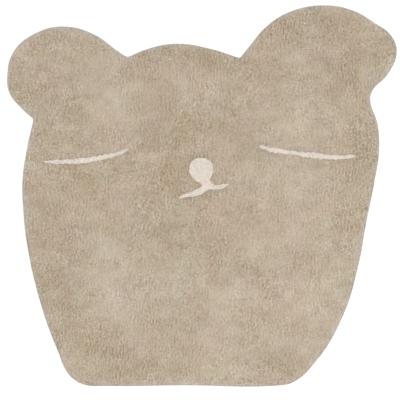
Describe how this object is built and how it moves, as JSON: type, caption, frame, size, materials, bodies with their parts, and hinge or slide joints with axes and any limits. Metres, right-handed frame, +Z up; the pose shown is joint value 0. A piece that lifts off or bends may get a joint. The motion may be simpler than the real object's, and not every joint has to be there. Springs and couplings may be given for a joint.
{
  "type": "bear shaped kids rug",
  "caption": "Flat tufted rug for a child's room, cut to the outline of a bear's head with a sleeping face in cream pile; lies on a floor.",
  "frame": {"origin": "on the floor, under the middle of the rug's width and length", "axes": "+Z up out of the pile, +Y towards the ears, +X to the right seen from above with the ears at the far side, along the rug's width"},
  "size_m": [1.2, 1.1743, 0.014],
  "materials": {
    "beige_pile": "matte cut pile",
    "cream_pile": "matte cut pile"
  },
  "bodies": {
    "root": {"rug_body": "beige_pile", "left_eyelid": "cream_pile", "right_eyelid": "cream_pile", "nose_and_mouth": "cream_pile"}
  },
  "joints": []
}
